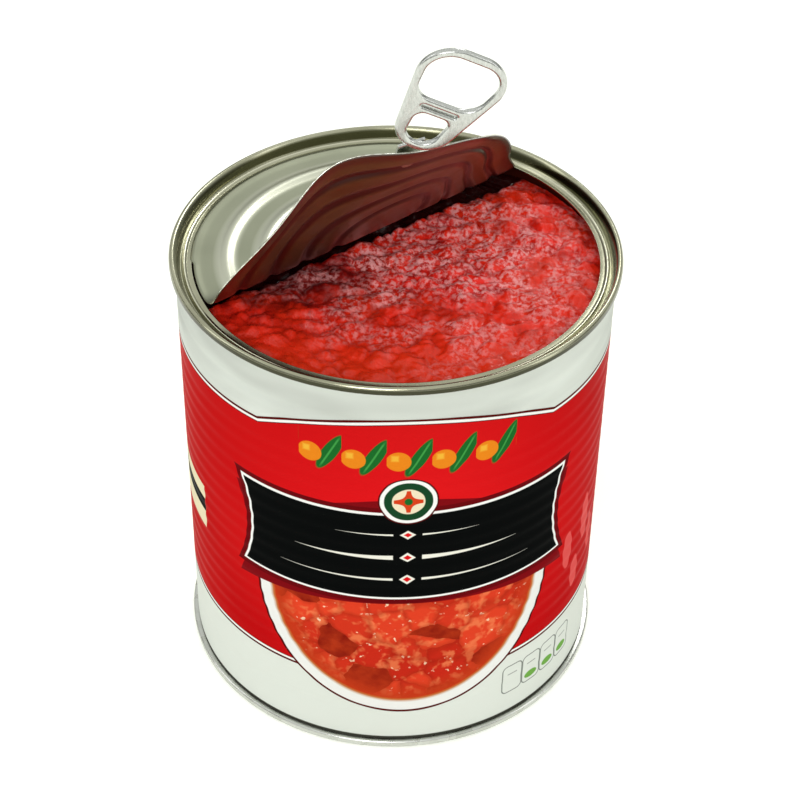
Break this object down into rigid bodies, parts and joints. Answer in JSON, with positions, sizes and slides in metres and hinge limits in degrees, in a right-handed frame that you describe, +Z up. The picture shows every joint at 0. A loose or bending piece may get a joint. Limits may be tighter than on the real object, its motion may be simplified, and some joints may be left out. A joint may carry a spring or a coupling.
{
  "type": "opened tin of chopped tomatoes",
  "caption": "Catering tin with a ribbed printed wall, seamed ends, a ring-pull lid peeled half open and chopped tomatoes filled up to below the rim.",
  "frame": {"origin": "centre of the circle the tin stands on", "axes": "+Z up the tin's axis, the middle of the printed front faces -Y, +X to its right"},
  "size_m": [0.157, 0.157, 0.2756],
  "materials": {
    "printed_wall": "glossy litho print in red, black and white on white enamel",
    "lower_end": "bare tinplate",
    "lacquered_end": "clear gold lacquer over tinplate, tomato stained on its inner face",
    "tab_metal": "bright pressed steel",
    "tomato_pulp": "wet chopped pulp"
  },
  "bodies": {
    "root": {"can_body": "printed_wall", "bottom_end": "lower_end", "top_end": "lacquered_end", "pull_tab": "tab_metal", "chopped_tomatoes": "tomato_pulp"}
  },
  "joints": []
}
